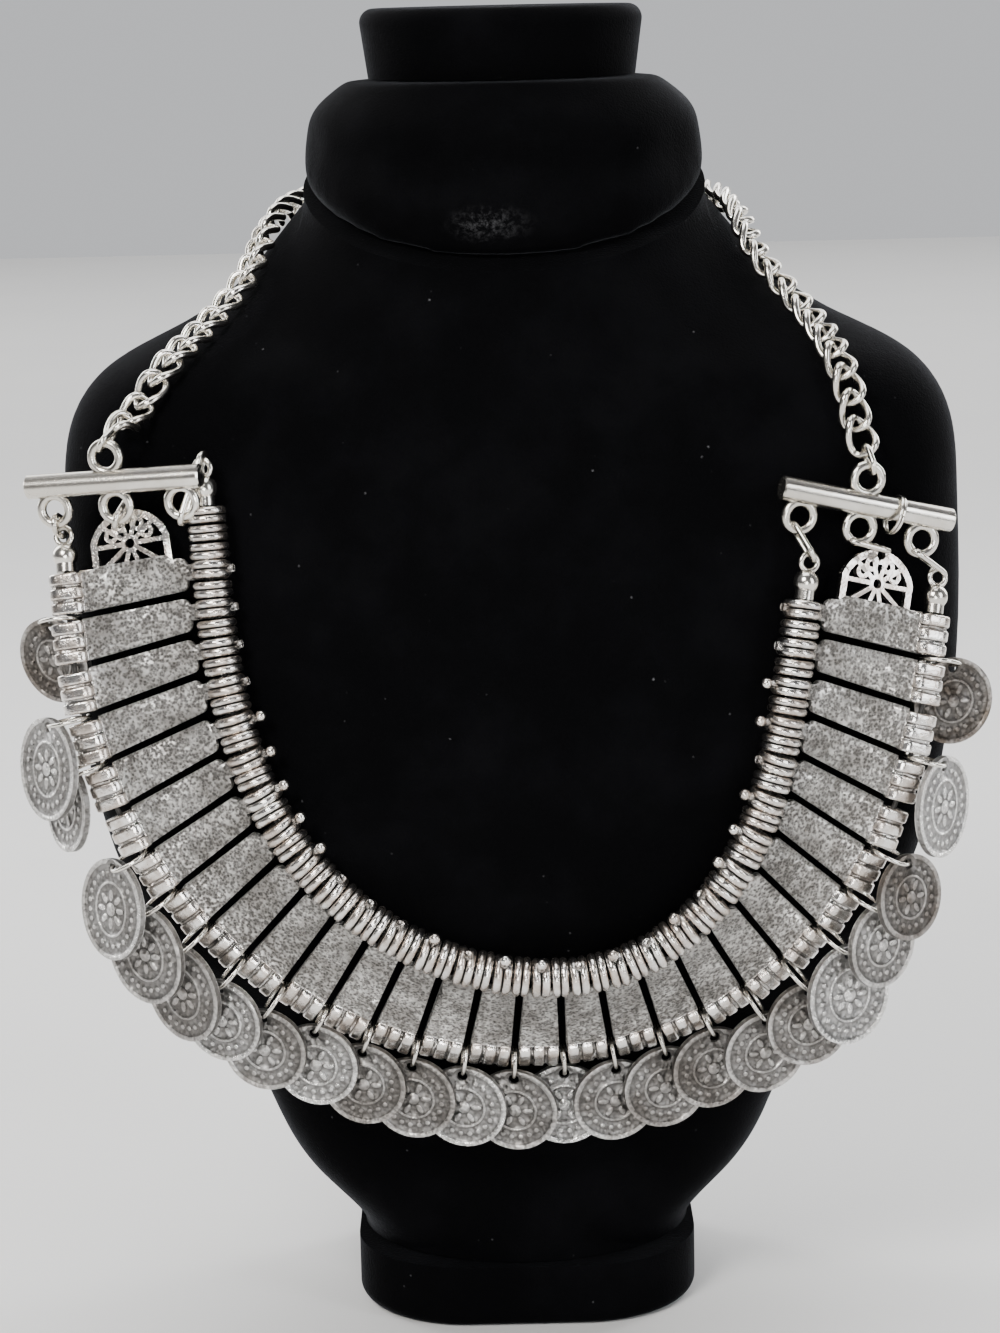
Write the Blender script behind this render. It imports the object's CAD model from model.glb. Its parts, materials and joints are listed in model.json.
"""Looks of a collar necklace of pitted plates on its velvet neck bust.

Metres, +Z up, the bust's front towards -Y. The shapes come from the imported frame. This file dresses them,
pads the roll on the neck, rounds the curb chain, hangs the thin split ring on the right end bar and sets up
the camera, the lights, the surroundings and a pale floor.
"""

import json
import logging
import math
from dataclasses import dataclass
from enum import Enum
from typing import Optional, Sequence, Union

import bpy
from mathutils import Matrix, Vector
from mathutils.bvhtree import BVHTree

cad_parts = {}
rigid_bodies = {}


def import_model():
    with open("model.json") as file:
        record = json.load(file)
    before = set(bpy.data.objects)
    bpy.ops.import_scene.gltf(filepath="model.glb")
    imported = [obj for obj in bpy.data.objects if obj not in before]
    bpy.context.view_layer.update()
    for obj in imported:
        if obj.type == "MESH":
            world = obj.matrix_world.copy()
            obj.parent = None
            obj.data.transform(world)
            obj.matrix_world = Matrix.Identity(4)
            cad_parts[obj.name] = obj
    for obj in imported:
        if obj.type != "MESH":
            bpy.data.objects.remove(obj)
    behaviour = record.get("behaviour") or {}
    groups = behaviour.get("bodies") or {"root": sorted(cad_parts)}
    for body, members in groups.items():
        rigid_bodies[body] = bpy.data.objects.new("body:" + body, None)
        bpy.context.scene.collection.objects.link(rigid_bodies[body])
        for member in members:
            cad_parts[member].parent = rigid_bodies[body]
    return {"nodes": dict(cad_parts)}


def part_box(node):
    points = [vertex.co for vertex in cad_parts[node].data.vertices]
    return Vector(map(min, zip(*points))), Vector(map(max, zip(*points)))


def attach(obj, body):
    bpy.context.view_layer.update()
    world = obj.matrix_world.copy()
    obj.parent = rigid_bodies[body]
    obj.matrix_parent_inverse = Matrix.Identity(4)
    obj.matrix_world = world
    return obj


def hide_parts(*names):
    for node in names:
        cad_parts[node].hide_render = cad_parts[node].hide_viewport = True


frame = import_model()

LOG = logging.getLogger("necklace")
TONE = "tone"
CREST = "crest"
MM = 0.001
OPENNESS_SAMPLES = 8

# Where a Mix node keeps its colours, behind its numbers and vectors
COLOUR_INPUTS = (6, 7)
COLOUR_OUTPUT = 2

Colour = tuple[float, float, float]
Triple = tuple[float, float, float]
Span = tuple[float, float]
Socket = bpy.types.NodeSocket
Number = Union["Channel", float]


class Slot(Enum):
    """The record's material slots that new pieces take their finish from."""

    VELVET = "velvet"
    PLATE = "plate_metal"
    BRIGHT_COIN = "coin_bright"
    AGED_COIN = "coin_aged"
    BRIGHT = "bright_metal"


# Shader arithmetic


class Channel:
    """A number that varies over a surface, so that finishes are written as sums and products."""

    def __init__(self, tree: bpy.types.NodeTree, socket: Socket) -> None:
        """Wrap one output socket of a node tree."""
        self.tree = tree
        self.socket = socket

    def _maths(self, operation: str, first: Number, second: Number) -> "Channel":
        """Add one Math node.

        Args:
            operation: The node's operation.
            first: Its first value or link.
            second: Its second value or link.

        Returns:
            The node's result.
        """
        node = self.tree.nodes.new("ShaderNodeMath")
        node.operation = operation
        for place, value in enumerate((first, second)):
            if isinstance(value, Channel):
                self.tree.links.new(value.socket, node.inputs[place])
            else:
                node.inputs[place].default_value = value
        return Channel(self.tree, node.outputs[0])

    def __add__(self, other: Number) -> "Channel":
        """Sum."""
        return self._maths("ADD", self, other)

    __radd__ = __add__

    def __sub__(self, other: Number) -> "Channel":
        """Difference."""
        return self._maths("SUBTRACT", self, other)

    def __rsub__(self, other: Number) -> "Channel":
        """Difference from a number."""
        return self._maths("SUBTRACT", other, self)

    def __mul__(self, other: Number) -> "Channel":
        """Product."""
        return self._maths("MULTIPLY", self, other)

    __rmul__ = __mul__

    def at_most(self, other: Number) -> "Channel":
        """The smaller of the two."""
        return self._maths("MINIMUM", self, other)

    def at_least(self, other: Number) -> "Channel":
        """The larger of the two."""
        return self._maths("MAXIMUM", self, other)


class Surface:
    """One material under construction, with the few nodes that the finishes share."""

    def __init__(self, name: str) -> None:
        """Start an empty material with a principled shader.

        Args:
            name: The finish's plain name.
        """
        self.material = bpy.data.materials.new(name)
        self.material.use_nodes = True
        self.tree = self.material.node_tree
        self.tree.nodes.clear()
        self.shader = self.tree.nodes.new("ShaderNodeBsdfPrincipled")
        output = self.tree.nodes.new("ShaderNodeOutputMaterial")
        self.tree.links.new(self.shader.outputs[0], output.inputs["Surface"])
        self.place = self.node("ShaderNodeTexCoord").outputs["Object"]

    def node(
        self, kind: str, settings: Optional[dict] = None, sockets: Optional[dict] = None
    ) -> bpy.types.Node:
        """Add any node.

        Args:
            kind: The node's type.
            settings: Properties that are set first.
            sockets: Values or links by input name or number.

        Returns:
            The node.
        """
        made = self.tree.nodes.new(kind)
        for key, value in (settings or {}).items():
            setattr(made, key, value)
        for key, value in (sockets or {}).items():
            if isinstance(value, Channel):
                self.tree.links.new(value.socket, made.inputs[key])
            elif isinstance(value, Socket):
                self.tree.links.new(value, made.inputs[key])
            else:
                made.inputs[key].default_value = value
        return made

    def noise(self, scale: float, detail: float = 3.0, rough: float = 0.55) -> Channel:
        """Soft noise, scale in spots a metre."""
        sockets = {"Vector": self.place, "Scale": scale, "Detail": detail, "Roughness": rough}
        return Channel(self.tree, self.node("ShaderNodeTexNoise", None, sockets).outputs[0])

    def cells(self, scale: float) -> Channel:
        """Distance from the middle of scattered cells, scale in cells a metre."""
        sockets = {"Vector": self.place, "Scale": scale, "Randomness": 1.0}
        return Channel(self.tree, self.node("ShaderNodeTexVoronoi", None, sockets).outputs["Distance"])

    def between(self, value: Channel, low: float, high: float) -> Channel:
        """Spread a value smoothly over 0 to 1, with its ends held.

        Args:
            value: What is spread.
            low: Where the result is 0.
            high: Where the result is 1. It may be the smaller of the two.

        Returns:
            The spread value.
        """
        sockets = {"Value": value, "From Min": low, "From Max": high, "To Min": 0.0, "To Max": 1.0}
        made = self.node("ShaderNodeMapRange", {"interpolation_type": "SMOOTHSTEP"}, sockets)
        return Channel(self.tree, made.outputs[0])

    def openness(self, distance: float) -> Channel:
        """Tell crests from grooves by how open the piece's own surface is.

        Args:
            distance: How far round a point the surface counts.

        Returns:
            1 on open faces and crests, towards 0 in grooves and corners narrower than the distance.
        """
        settings = {"only_local": True, "samples": OPENNESS_SAMPLES}
        made = self.node("ShaderNodeAmbientOcclusion", settings, {"Distance": distance})
        return Channel(self.tree, made.outputs["AO"])

    def drawn(self, name: str) -> Channel:
        """A number that is stored on the piece's own points."""
        made = self.node("ShaderNodeAttribute", {"attribute_name": name})
        return Channel(self.tree, made.outputs["Fac"])

    def blend(self, mask: Channel, low: Union[Colour, Socket], high: Union[Colour, Socket]) -> Socket:
        """Mix two colours.

        Args:
            mask: 0 for the first colour and 1 for the second.
            low: The first colour, or a link to one.
            high: The second colour, or a link to one.

        Returns:
            The mixed colour.
        """
        made = self.node("ShaderNodeMix", {"data_type": "RGBA"}, {0: mask})
        for number, value in zip(COLOUR_INPUTS, (low, high)):
            if isinstance(value, Socket):
                self.tree.links.new(value, made.inputs[number])
            else:
                made.inputs[number].default_value = (*value, 1.0)
        return made.outputs[COLOUR_OUTPUT]

    def bump(self, height: Channel, depth: float, under: Optional[Socket] = None) -> Socket:
        """Raise the surface by a pattern.

        Args:
            height: The pattern.
            depth: How high it stands, in metres.
            under: Another bump that this one lies on.

        Returns:
            The bumped normal.
        """
        sockets = {"Height": height, "Strength": 1.0, "Distance": depth}
        if under is not None:
            sockets["Normal"] = under
        return self.node("ShaderNodeBump", None, sockets).outputs[0]

    def set(self, name: str, value: Union[Channel, Socket, float, tuple]) -> None:
        """Set or link one input of the shader.

        Args:
            name: The input.
            value: What it is set to or linked with.
        """
        target = self.shader.inputs[name]
        if isinstance(value, Channel):
            self.tree.links.new(value.socket, target)
        elif isinstance(value, Socket):
            self.tree.links.new(value, target)
        else:
            target.default_value = value


# Finishes


@dataclass(frozen=True)
class VelvetFinish:
    """Near-black velvet with brushed nap, dust and a grey edge sheen."""

    name: str = "black velvet"
    dark: Colour = (0.0008, 0.0008, 0.0010)
    light: Colour = (0.0030, 0.0030, 0.0036)
    dust: Colour = (0.10, 0.10, 0.105)
    rough: float = 0.92
    specular: float = 0.03
    sheen: float = 0.09
    sheen_rough: float = 0.22
    sheen_tint: tuple[float, float, float, float] = (0.80, 0.83, 0.92, 1.0)
    patches: float = 32.0
    patch_span: Span = (0.42, 0.72)
    patch_height: float = 0.6
    nap: float = 1900.0
    nap_share: float = 0.4
    nap_depth: float = 0.00018
    specks: float = 420.0
    speck_span: Span = (0.16, 0.05)
    speck_share: float = 0.8
    dusty_fields: float = 140.0
    dusty_span: Span = (0.60, 0.72)
    rubbed_place: Triple = (-0.0035, -0.0440, 0.2395)
    rubbed_squash: Triple = (0.75, 0.5, 1.7)
    rubbed_reach: float = 0.0085
    rubbed_spots: float = 700.0
    rubbed_span: Span = (0.44, 0.66)
    rubbed_share: float = 0.42

    def rubbed(self, surface: Surface) -> Channel:
        """Mark the dusty spot under the roll's crease.

        Args:
            surface: The velvet under construction.

        Returns:
            1 where the spot is dustiest and 0 away from it.
        """
        offset = tuple(-squash * place for squash, place in zip(self.rubbed_squash, self.rubbed_place))
        sockets = {0: surface.place, "Location": offset, "Scale": self.rubbed_squash}
        moved = surface.node("ShaderNodeMapping", None, sockets)
        length = surface.node("ShaderNodeVectorMath", {"operation": "LENGTH"}, {0: moved.outputs[0]})
        near = surface.between(Channel(surface.tree, length.outputs["Value"]), self.rubbed_reach, 0.0)
        spots = surface.noise(self.rubbed_spots, detail=5.0, rough=0.8)
        return near * surface.between(spots, *self.rubbed_span)

    def material(self) -> bpy.types.Material:
        """Make the material."""
        surface = Surface(self.name)
        patch = surface.between(surface.noise(self.patches, detail=4.0, rough=0.6), *self.patch_span)
        nap = surface.noise(self.nap, detail=2.0, rough=0.7)
        pile = (patch * (1.0 - self.nap_share) + nap * self.nap_share).at_most(1.0)
        speck = surface.between(surface.cells(self.specks), *self.speck_span)
        fields = surface.noise(self.dusty_fields, detail=3.0, rough=0.7)
        sparse = surface.between(fields, *self.dusty_span)
        marks = speck * sparse * self.speck_share + self.rubbed(surface) * self.rubbed_share
        colour = surface.blend(pile, self.dark, self.light)
        surface.set("Base Color", surface.blend(marks.at_most(1.0), colour, self.dust))
        surface.set("Roughness", self.rough)
        surface.set("Specular IOR Level", self.specular)
        surface.set("Sheen Weight", self.sheen)
        surface.set("Sheen Roughness", self.sheen_rough)
        surface.set("Sheen Tint", self.sheen_tint)
        surface.set("Normal", surface.bump(nap + patch * self.patch_height, self.nap_depth))
        return surface.material


@dataclass(frozen=True)
class MetalFinish:
    """Antique silver plating: bright on crests, dark in grooves, pitted or scratched as asked."""

    name: str
    bright: Colour = (0.80, 0.785, 0.755)
    dull: Colour = (0.36, 0.345, 0.325)
    dark: Colour = (0.020, 0.018, 0.016)
    groove: float = 0.0011
    low: float = 0.35
    high: float = 0.93
    rough: float = 0.24
    rough_spread: float = 0.30
    worn_share: float = 0.6
    patches: float = 70.0
    patch_span: Span = (0.36, 0.66)
    pits: float = 0.0
    pit_depth: float = 0.0
    pit_colour: float = 0.0
    pit_span: Span = (0.46, 0.78)
    cell_share: float = 0.45
    cast_share: float = 0.9
    cast_scale: float = 0.55
    grain: float = 2600.0
    grain_depth: float = 0.00003
    grain_rough: float = 0.10
    struck: bool = False
    relief_shade: float = 0.55
    tone_share: float = 0.85
    patch_share: float = 0.35
    tone_drop: float = 0.1

    def material(self) -> bpy.types.Material:
        """Make the material."""
        surface = Surface(self.name)
        clean = surface.between(surface.openness(self.groove), self.low, self.high)
        tarnish = surface.between(surface.noise(self.patches, detail=4.0, rough=0.65), *self.patch_span)
        grain = surface.noise(self.grain, detail=2.0, rough=0.6)
        normal = surface.bump(grain, self.grain_depth)
        if self.pits:
            pit = self.pitting(surface)
            clean = clean * (pit * self.pit_colour + (1.0 - self.pit_colour))
            normal = surface.bump(pit, self.pit_depth, normal)
        if self.struck:
            own_tone = tarnish * self.patch_share + surface.drawn(TONE) * self.tone_share - self.tone_drop
            tarnish = own_tone.at_least(0.0).at_most(1.0)
            clean = clean * (surface.drawn(CREST) * self.relief_shade + (1.0 - self.relief_shade))
        tone = surface.blend(tarnish, self.dull, self.bright)
        surface.set("Base Color", surface.blend(clean, self.dark, tone))
        surface.set("Metallic", 1.0)
        worn = (clean * self.worn_share + tarnish * (1.0 - self.worn_share)).at_most(1.0)
        smoothest = self.rough - self.grain_rough / 2
        surface.set("Roughness", (1.0 - worn) * self.rough_spread + grain * self.grain_rough + smoothest)
        surface.set("Normal", normal)
        return surface.material

    def pitting(self, surface: Surface) -> Channel:
        """Make the casting's pits.

        Args:
            surface: The metal under construction.

        Returns:
            0 in the pits and 1 on the skin between them.
        """
        cast = surface.noise(self.pits * self.cast_scale, detail=5.0, rough=0.75)
        mixed = surface.cells(self.pits) * self.cell_share + cast * self.cast_share
        return surface.between(mixed, *self.pit_span)


@dataclass(frozen=True)
class CordFinish:
    """Waxed black thread with a fine twist."""

    name: str = "waxed thread"
    dark: Colour = (0.012, 0.011, 0.010)
    light: Colour = (0.055, 0.050, 0.045)
    rough: float = 0.5
    rough_spread: float = 0.2
    twist: float = 3200.0
    twist_depth: float = 0.00008

    def material(self) -> bpy.types.Material:
        """Make the material."""
        surface = Surface(self.name)
        strand = surface.noise(self.twist, detail=2.0, rough=0.5)
        surface.set("Base Color", surface.blend(strand, self.dark, self.light))
        surface.set("Roughness", strand * self.rough_spread + self.rough)
        surface.set("Normal", surface.bump(strand, self.twist_depth))
        return surface.material


@dataclass(frozen=True)
class FloorFinish:
    """A plain pale painted floor."""

    name: str = "pale floor"
    light: Colour = (0.74, 0.735, 0.725)
    shade: Colour = (0.70, 0.695, 0.685)
    rough: float = 0.6
    rough_spread: float = 0.1
    clouds: float = 9.0
    grain: float = 900.0
    grain_depth: float = 0.00004

    def material(self) -> bpy.types.Material:
        """Make the material."""
        surface = Surface(self.name)
        cloud = surface.noise(self.clouds, detail=3.0, rough=0.5)
        surface.set("Base Color", surface.blend(cloud, self.shade, self.light))
        surface.set("Roughness", cloud * self.rough_spread + self.rough)
        surface.set("Normal", surface.bump(surface.noise(self.grain), self.grain_depth))
        return surface.material


# Hand tools


def select_none() -> None:
    """Deselect every object."""
    for other in bpy.context.view_layer.objects:
        other.select_set(False)


def select_only(piece: bpy.types.Object) -> None:
    """Select one piece alone.

    Args:
        piece: The piece, which becomes the active one too.
    """
    select_none()
    piece.select_set(True)
    bpy.context.view_layer.objects.active = piece


def apply_modifier(piece: bpy.types.Object, kind: str, settings: dict) -> None:
    """Add one modifier and apply it.

    Args:
        piece: The piece that it changes.
        kind: The modifier's type.
        settings: Its properties.
    """
    select_only(piece)
    modifier = piece.modifiers.new(kind.lower(), kind)
    for key, value in settings.items():
        setattr(modifier, key, value)
    bpy.ops.object.modifier_apply(modifier=modifier.name)


def copied_node(node: str, name: str, merge: float = 0.00001) -> bpy.types.Object:
    """A copy of a node's mesh as a new piece, with its loose triangles joined.

    Args:
        node: The node that is copied.
        name: The piece's name.
        merge: How near two corners are joined.

    Returns:
        The new piece.
    """
    source = frame["nodes"][node]
    piece = bpy.data.objects.new(name, source.data.copy())
    bpy.context.scene.collection.objects.link(piece)
    select_only(piece)
    bpy.ops.object.mode_set(mode="EDIT")
    bpy.ops.mesh.select_all(action="SELECT")
    bpy.ops.mesh.remove_doubles(threshold=merge)
    bpy.ops.mesh.normals_make_consistent(inside=False)
    bpy.ops.object.mode_set(mode="OBJECT")
    return piece


def surface_tree(node: str) -> BVHTree:
    """A node's surface, for measuring how far other points lie from it."""
    return BVHTree.FromObject(frame["nodes"][node], bpy.context.evaluated_depsgraph_get())


def mean_across(piece: bpy.types.Object) -> float:
    """How far to the right a piece lies, as the mean over its points."""
    points = piece.data.vertices
    return sum(point.co.x for point in points) / len(points)


def dress(piece: bpy.types.Object, material: bpy.types.Material) -> None:
    """Give a piece one material.

    Args:
        piece: The piece or CAD node.
        material: Its finish.
    """
    if piece.material_slots:
        for place in piece.material_slots:
            place.material = material
    else:
        piece.data.materials.append(material)


def settle(piece: bpy.types.Object, node: str) -> None:
    """Let a piece ride on the body in place of its node.

    Args:
        piece: The piece.
        node: The CAD node that it stands for.
    """
    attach(piece, "root")
    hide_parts(node)


# Sub-assemblies


@dataclass
class PaddedRoll:
    """The velvet roll round the neck: two soft bulges with a crease between them."""

    node: str = "bust_roll"
    voxel: float = 0.0022
    crease_height: float = 0.2500
    crease_rise: float = 0.15
    crease_depth: float = 0.0034
    crease_width: float = 0.0042
    crease_behind: float = 0.25
    pucker: float = 0.25
    pucker_waves: Span = (9.0, 4.0)
    swell: float = 0.0006
    swell_above: float = 2.0
    swell_below: float = 2.2
    still_reach: float = 0.55
    fade_reach: float = 0.3
    fill: float = 0.85

    def build(self, velvet: bpy.types.Material) -> bpy.types.Object:
        """Model the roll on its solid and set it in place.

        Args:
            velvet: The bust's velvet.

        Returns:
            The padded piece.
        """
        piece = copied_node(self.node, "roll_padding")
        select_only(piece)
        piece.data.remesh_voxel_size = self.voxel
        bpy.ops.object.voxel_remesh()
        apply_modifier(piece, "SMOOTH", {"factor": 0.5, "iterations": 6})
        self.crease(piece)
        apply_modifier(piece, "SMOOTH", {"factor": 0.4, "iterations": 2})
        apply_modifier(piece, "SUBSURF", {"levels": 1, "render_levels": 1})
        select_only(piece)
        bpy.ops.object.shade_smooth()
        piece.data.materials.clear()
        dress(piece, velvet)
        settle(piece, self.node)
        return piece

    def crease(self, piece: bpy.types.Object) -> None:
        """Press the crease in, deepest in front, and swell the two bulges beside it.

        Args:
            piece: The remeshed roll.
        """
        low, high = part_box(self.node)
        middle = (low + high) / 2
        half = (high.y - low.y) / 2
        still = self.still_reach * half
        first, second = self.pucker_waves
        for vertex in piece.data.vertices:
            out = Vector((vertex.co.x - middle.x, vertex.co.y - middle.y, 0.0))
            reach = out.length
            if reach < still:
                continue
            way = out / reach
            front = self.crease_behind + (1.0 - self.crease_behind) * max(0.0, -way.y)
            line = self.crease_height + self.crease_rise * (vertex.co.y - low.y)
            gap = (vertex.co.z - line) / self.crease_width
            wave = math.sin(first * math.atan2(way.y, way.x)) * math.sin(second * math.atan2(way.x, way.y))
            pucker = 1.0 - self.pucker + self.pucker * wave
            press = self.crease_depth * math.exp(-gap * gap) * front * pucker
            above = math.exp(-((gap - self.swell_above) ** 2))
            below = math.exp(-((gap + self.swell_below) ** 2))
            fade = min(1.0, (reach - still) / (self.fade_reach * half))
            vertex.co -= way * ((press - self.swell * (above + below)) * fade)


@dataclass
class Bust:
    """The plain velvet stand: body, base, neck stub and padded roll."""

    finish: VelvetFinish = VelvetFinish()
    hard_nodes: Sequence[str] = ("bust_body", "bust_cap", "bust_base")

    def build(self) -> list[bpy.types.Object]:
        """Dress the hard nodes and build the roll.

        Returns:
            The new pieces.
        """
        velvet = self.finish.material()
        for node in self.hard_nodes:
            dress(frame["nodes"][node], velvet)
        return [PaddedRoll().build(velvet)]


@dataclass
class CurbChain:
    """One side's curb chain, rounded from its faceted links."""

    node: str
    merge: float = 0.000002
    quad_angle: float = 1.2
    rounding: int = 2
    fatten: float = 0.00011

    def build(self, material: bpy.types.Material) -> bpy.types.Object:
        """Round the links.

        Args:
            material: The chain's metal.

        Returns:
            The rounded chain.
        """
        piece = copied_node(self.node, self.node + "_rounded", self.merge)
        select_only(piece)
        bpy.ops.object.mode_set(mode="EDIT")
        bpy.ops.mesh.select_all(action="SELECT")
        bpy.ops.mesh.tris_convert_to_quads(face_threshold=self.quad_angle, shape_threshold=self.quad_angle)
        bpy.ops.object.mode_set(mode="OBJECT")
        apply_modifier(piece, "SUBSURF", {"levels": self.rounding, "render_levels": self.rounding})
        apply_modifier(piece, "DISPLACE", {"strength": self.fatten, "mid_level": 0.0})
        select_only(piece)
        bpy.ops.object.shade_smooth()
        piece.data.materials.clear()
        dress(piece, material)
        settle(piece, self.node)
        return piece


@dataclass
class BarRing:
    """The thin split ring that hangs round the right end bar."""

    bar_middle: Triple = (72.7 * MM, -47.5 * MM, 181.5 * MM)
    bar_way: Triple = (35.5, 9.0, -9.0)
    bar_radius: float = 2.5 * MM
    along: float = 6.2 * MM
    radius: float = 3.9 * MM
    wire: float = 0.32 * MM
    sides: int = 12
    turns: float = 1.9
    rise: float = 0.68 * MM
    lean: float = 5.0
    steps: int = 64

    def build(self, metal: bpy.types.Material) -> bpy.types.Object:
        """Spin a small disc into two close turns and hang them on the bar.

        Args:
            metal: The links' metal.

        Returns:
            The ring.
        """
        select_none()
        bpy.ops.mesh.primitive_circle_add(
            vertices=self.sides, radius=self.wire, fill_type="NGON", location=(self.radius, 0.0, 0.0),
            rotation=(math.radians(90.0), 0.0, 0.0),
        )
        piece = bpy.context.object
        piece.name = "bar_ring"
        bpy.ops.object.transform_apply(location=True, rotation=True, scale=True)
        bpy.ops.object.mode_set(mode="EDIT")
        bpy.ops.mesh.select_all(action="SELECT")
        bpy.ops.mesh.spin(
            steps=self.steps, angle=math.tau * self.turns, center=(0.0, 0.0, 0.0), axis=(0.0, 0.0, 1.0),
            dupli=False,
        )
        bpy.ops.mesh.select_all(action="SELECT")
        bpy.ops.mesh.normals_make_consistent(inside=False)
        bpy.ops.object.mode_set(mode="OBJECT")
        self.climb(piece)
        bar = Vector(self.bar_way).normalized()
        hang = self.radius - self.wire - self.bar_radius
        place = Vector(self.bar_middle) + bar * self.along - Vector((0.0, 0.0, hang))
        turn = bar.to_track_quat("Z", "Y").to_matrix().to_4x4()
        lean = Matrix.Rotation(math.radians(self.lean), 4, "X")
        piece.matrix_world = Matrix.Translation(place) @ (turn @ lean)
        select_only(piece)
        bpy.ops.object.transform_apply(location=True, rotation=True, scale=True)
        bpy.ops.object.shade_smooth()
        dress(piece, metal)
        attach(piece, "root")
        return piece

    def climb(self, piece: bpy.types.Object) -> None:
        """Lift the rings of points one after the other, so that the turns lie side by side.

        Args:
            piece: The spun wire.
        """
        last = len(piece.data.vertices) // self.sides - 1
        for vertex in piece.data.vertices:
            share = min(vertex.index // self.sides, last) / last
            vertex.co.z += self.rise * self.turns * (share - 0.5)


@dataclass
class PlateRow:
    """The cast plates: rough pitted flats between polished collars, ribbed tubes and pierced arches."""

    tube_reach: float = 3.45 * MM
    collar_reach: float = 26.6 * MM
    arch_reach: float = 9.5 * MM
    smooth_angle: float = 32.0
    ends: tuple[tuple[str, str], ...] = (("end_plate_left", "plate_02"), ("end_plate_right", "plate_28"))

    def build(self, flat: bpy.types.Material, beads: bpy.types.Material) -> list[bpy.types.Object]:
        """Copy every plate and give its flats and its beads their own metal.

        Args:
            flat: The pitted metal.
            beads: The polished metal of collars, tubes and arches.

        Returns:
            One piece for each plate.
        """
        string = surface_tree("outer_thread")
        next_plates = dict(self.ends)
        pieces = []
        for name in sorted(frame["nodes"]):
            if "plate" not in name:
                continue
            piece = copied_node(name, name + "_cast")
            piece.data.materials.clear()
            piece.data.materials.append(flat)
            piece.data.materials.append(beads)
            beside = surface_tree(next_plates[name]) if name in next_plates else None
            for face in piece.data.polygons:
                away = string.find_nearest(face.center)[3]
                polished = away < self.tube_reach or away > self.collar_reach
                if beside is not None:
                    polished = polished or beside.find_nearest(face.center)[3] > self.arch_reach
                face.material_index = int(polished)
            select_only(piece)
            bpy.ops.object.shade_smooth_by_angle(angle=math.radians(self.smooth_angle))
            settle(piece, name)
            pieces.append(piece)
        return pieces


@dataclass
class CoinSet:
    """One node of struck coins, each with its own tone and with dark fields between its raised ornament."""

    node: str
    slot: Slot
    tones: Sequence[float]
    field: float = 0.50 * MM
    crest: float = 0.69 * MM
    smooth_angle: float = 35.0

    def build(self, metal: bpy.types.Material) -> bpy.types.Object:
        """Copy the coins and store tone and height on them.

        Args:
            metal: The coins' metal.

        Returns:
            The coins as one piece.
        """
        whole = copied_node(self.node, self.node + "_struck")
        select_only(whole)
        bpy.ops.object.mode_set(mode="EDIT")
        bpy.ops.mesh.select_all(action="SELECT")
        bpy.ops.mesh.separate(type="LOOSE")
        bpy.ops.object.mode_set(mode="OBJECT")
        coins = sorted(bpy.context.selected_objects, key=mean_across)
        for place, coin in enumerate(coins):
            self.mark(coin, self.tones[place % len(self.tones)])
        for coin in coins:
            coin.select_set(True)
        bpy.context.view_layer.objects.active = coins[0]
        bpy.ops.object.join()
        piece = bpy.context.view_layer.objects.active
        piece.name = self.node + "_struck"
        select_only(piece)
        bpy.ops.object.shade_smooth_by_angle(angle=math.radians(self.smooth_angle))
        piece.data.materials.clear()
        dress(piece, metal)
        settle(piece, self.node)
        return piece

    def mark(self, coin: bpy.types.Object, tone: float) -> None:
        """Store one coin's tone and the height of its relief.

        Args:
            coin: The coin.
            tone: 0 for the darkest and 1 for the brightest coin.
        """
        largest = max(coin.data.polygons, key=lambda face: face.area)
        way = largest.normal.copy()
        points = coin.data.vertices
        heights = [point.co.dot(way) for point in points]
        middle = (min(heights) + max(heights)) / 2
        tones = coin.data.attributes.new(TONE, "FLOAT", "POINT")
        crests = coin.data.attributes.new(CREST, "FLOAT", "POINT")
        spread = self.crest - self.field
        tones.data.foreach_set("value", [tone] * len(points))
        raised = [min(1.0, max(0.0, (abs(height - middle) - self.field) / spread)) for height in heights]
        crests.data.foreach_set("value", raised)


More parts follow.
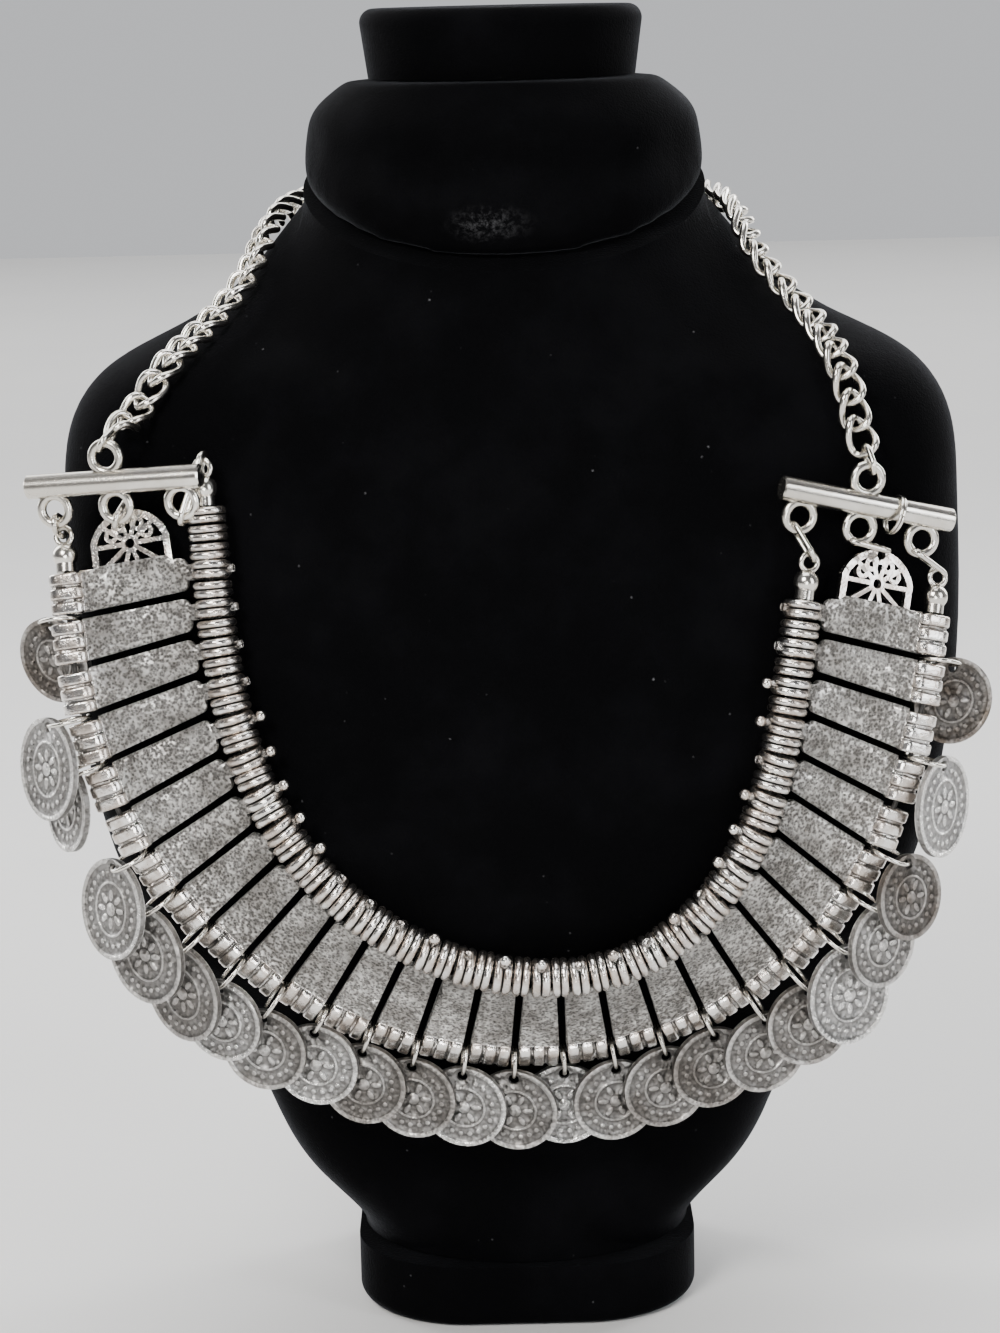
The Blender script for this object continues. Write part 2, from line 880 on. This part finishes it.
@dataclass
class Necklace:
    """The collar: plates, beads, coins, bars, links, threads and chain."""

    plate: MetalFinish = MetalFinish(
        "pitted plate metal", bright=(0.66, 0.645, 0.62), dull=(0.34, 0.325, 0.305), groove=0.0015, low=0.34,
        high=0.95, rough=0.30, pits=1500.0, pit_depth=0.00055, pit_colour=0.66, patches=160.0,
    )
    bead: MetalFinish = MetalFinish(
        "ribbed bead metal", bright=(0.94, 0.92, 0.89), dull=(0.60, 0.53, 0.47), groove=0.0016, low=0.42,
        high=0.97, rough=0.17, patches=260.0, grain=1500.0, grain_depth=0.00008,
    )
    coin: MetalFinish = MetalFinish(
        "struck coin metal", bright=(0.97, 0.96, 0.94), dull=(0.155, 0.125, 0.10), groove=0.0011, low=0.34,
        high=0.95, pits=1100.0, pit_depth=0.00016, pit_colour=0.34, rough=0.24, patches=90.0, struck=True,
        relief_shade=0.58,
    )
    polished: MetalFinish = MetalFinish(
        "polished bar metal", bright=(0.88, 0.85, 0.79), dull=(0.70, 0.665, 0.60), groove=0.0010, low=0.25,
        high=0.85, rough=0.17, rough_spread=0.22, grain_depth=0.00002,
    )
    cord: CordFinish = CordFinish()
    large_tones: Sequence[float] = (0.74, 0.70, 0.52, 0.46, 0.96, 1.0)
    small_tones: Sequence[float] = (
        0.24, 0.62, 0.70, 0.50, 0.78, 0.42, 0.46, 0.84, 0.54,
        1.0, 0.50, 0.38, 0.32, 0.44, 0.34, 0.62, 0.24, 0.12,
    )

    def build(self) -> list[bpy.types.Object]:
        """Dress the plain nodes and build plates, coins, chains and the ring on the bar.

        Returns:
            The new pieces.
        """
        bead = self.bead.material()
        polished = self.polished.material()
        cord = self.cord.material()
        coin = self.coin.material()
        for name, node in frame["nodes"].items():
            if name == "inner_spacers":
                dress(node, bead)
            elif "thread" in name:
                dress(node, cord)
            elif not name.startswith("bust_"):
                dress(node, polished)
        pieces = PlateRow().build(self.plate.material(), bead)
        pieces.append(CoinSet("coins_large", Slot.BRIGHT_COIN, self.large_tones).build(coin))
        pieces.append(CoinSet("coins_small", Slot.AGED_COIN, self.small_tones).build(coin))
        for name in ("chain_left", "chain_right"):
            pieces.append(CurbChain(name).build(polished))
        pieces.append(BarRing().build(polished))
        return pieces


# Studio


@dataclass(frozen=True)
class SoftLight:
    """One soft studio light."""

    name: str
    place: Triple
    target: Triple
    width: float
    height: float
    power: float
    tint: Colour = (1.0, 1.0, 1.0)

    def build(self) -> None:
        """Hang the light."""
        data = bpy.data.lights.new(self.name, "AREA")
        data.shape = "RECTANGLE"
        data.size = self.width
        data.size_y = self.height
        data.energy = self.power
        data.color = self.tint
        light = bpy.data.objects.new(self.name, data)
        way = Vector(self.target) - Vector(self.place)
        turn = way.to_track_quat("-Z", "Y").to_matrix().to_4x4()
        light.matrix_world = Matrix.Translation(self.place) @ turn
        bpy.context.scene.collection.objects.link(light)


@dataclass(frozen=True)
class Studio:
    """Camera, lights, surroundings and floor."""

    camera_place: Triple = (-0.0032, -0.740, 0.289)
    pitch: float = 11.4
    roll: float = 1.3
    focal_pixels: float = 3420.0
    frame_height: float = 1333.0
    sensor: float = 24.0
    near_clip: float = 0.01
    heart: Triple = (0.0, -0.03, 0.15)
    floor_size: float = 6.0
    wall: Colour = (0.62, 0.63, 0.65)
    room: Colour = (0.11, 0.11, 0.115)
    room_end: float = -0.10
    wall_start: float = 0.75

    def lights(self) -> list[SoftLight]:
        """The lights of the set."""
        return [
            SoftLight("key", (-0.50, -0.95, 0.95), self.heart, 0.40, 0.40, 16.0, (1.0, 0.985, 0.96)),
            SoftLight("fill", (0.95, -0.75, 0.50), self.heart, 0.30, 0.80, 6.0, (0.95, 0.97, 1.0)),
            SoftLight("front", (0.05, -1.30, 0.22), self.heart, 0.30, 0.20, 5.0),
            SoftLight("rim_left", (-0.75, 0.55, 0.55), self.heart, 0.25, 0.8, 6.0),
            SoftLight("rim_right", (0.75, 0.55, 0.55), self.heart, 0.25, 0.8, 6.0),
            SoftLight("top", (0.0, 0.05, 1.30), self.heart, 0.8, 0.8, 9.0),
            SoftLight("far_floor", (0.0, 1.90, 1.50), (0.0, 1.90, 0.0), 3.6, 1.6, 52.0),
        ]

    def build_camera(self) -> None:
        """Set the camera where the photograph was taken from."""
        pitch = math.radians(self.pitch)
        roll = math.radians(self.roll)
        forward = Vector((0.0, math.cos(pitch), -math.sin(pitch)))
        level_up = Vector((0.0, math.sin(pitch), math.cos(pitch)))
        side = Vector((1.0, 0.0, 0.0))
        right = side * math.cos(roll) - level_up * math.sin(roll)
        up = side * math.sin(roll) + level_up * math.cos(roll)
        data = bpy.data.cameras.new("camera")
        data.sensor_fit = "VERTICAL"
        data.sensor_height = self.sensor
        data.lens = self.sensor * self.focal_pixels / self.frame_height
        data.clip_start = self.near_clip
        camera = bpy.data.objects.new("camera", data)
        turn = Matrix((right, up, -forward)).transposed().to_4x4()
        camera.matrix_world = Matrix.Translation(self.camera_place) @ turn
        bpy.context.scene.collection.objects.link(camera)
        bpy.context.scene.camera = camera

    def build_floor(self) -> None:
        """Lay the floor."""
        select_none()
        bpy.ops.mesh.primitive_plane_add(size=self.floor_size, location=(0.0, 0.0, 0.0))
        floor = bpy.context.object
        floor.name = "floor"
        dress(floor, FloorFinish().material())

    def build(self) -> None:
        """Build the set."""
        self.build_camera()
        self.build_floor()
        for light in self.lights():
            light.build()
        self.build_surround()

    def build_surround(self) -> None:
        """Light the room: a pale wall behind the bust and a dim room in front of it."""
        world = bpy.data.worlds.new("surround")
        bpy.context.scene.world = world
        world.use_nodes = True
        tree = world.node_tree
        place = tree.nodes.new("ShaderNodeTexCoord")
        parts = tree.nodes.new("ShaderNodeSeparateXYZ")
        tree.links.new(place.outputs["Generated"], parts.inputs[0])
        spread = tree.nodes.new("ShaderNodeMapRange")
        spread.inputs["From Min"].default_value = self.room_end
        spread.inputs["From Max"].default_value = self.wall_start
        tree.links.new(parts.outputs["Y"], spread.inputs["Value"])
        colour = tree.nodes.new("ShaderNodeMix")
        colour.data_type = "RGBA"
        for number, tone in zip(COLOUR_INPUTS, (self.room, self.wall)):
            colour.inputs[number].default_value = (*tone, 1.0)
        tree.links.new(spread.outputs[0], colour.inputs[0])
        tree.links.new(colour.outputs[COLOUR_OUTPUT], tree.nodes["Background"].inputs["Color"])


def main() -> None:
    """Build every sub-assembly in order."""
    logging.basicConfig(level=logging.INFO, format="%(message)s")
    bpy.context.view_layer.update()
    for assembly in (Bust(), Necklace()):
        for piece in assembly.build():
            LOG.info("%s: %s, %d faces", type(assembly).__name__, piece.name, len(piece.data.polygons))
    Studio().build()


if __name__ == "__main__":
    main()
